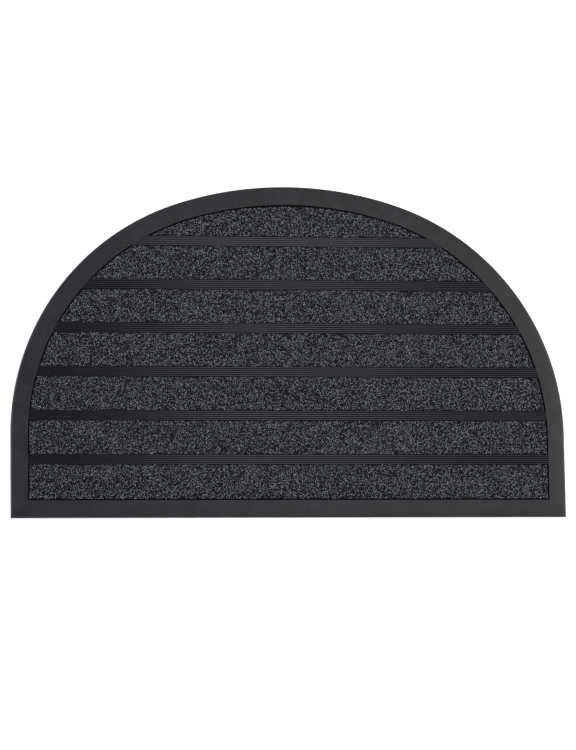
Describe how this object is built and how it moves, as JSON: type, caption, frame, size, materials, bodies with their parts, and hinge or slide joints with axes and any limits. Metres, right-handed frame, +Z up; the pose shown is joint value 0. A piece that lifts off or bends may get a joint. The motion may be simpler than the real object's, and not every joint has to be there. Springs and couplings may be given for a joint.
{
  "type": "half round doormat",
  "caption": "Half round doormat: a moulded rubber tray with a flat border and ribbed scraper bars, and carpet strips laid between the bars.",
  "frame": {"origin": "on the ground under the middle of the mat's box", "axes": "+X along the straight edge, +Y from the straight edge towards the top of the round, +Z up through the mat"},
  "size_m": [0.75, 0.45, 0.0074],
  "materials": {
    "rubber": "matt black moulded rubber with a fine embossed grain",
    "carpet": "anthracite curled looped pile"
  },
  "bodies": {
    "root": {"rubber_base": "rubber", "carpet_1": "carpet", "carpet_2": "carpet", "carpet_3": "carpet", "carpet_4": "carpet", "carpet_5": "carpet", "carpet_6": "carpet", "carpet_7": "carpet"}
  },
  "joints": []
}
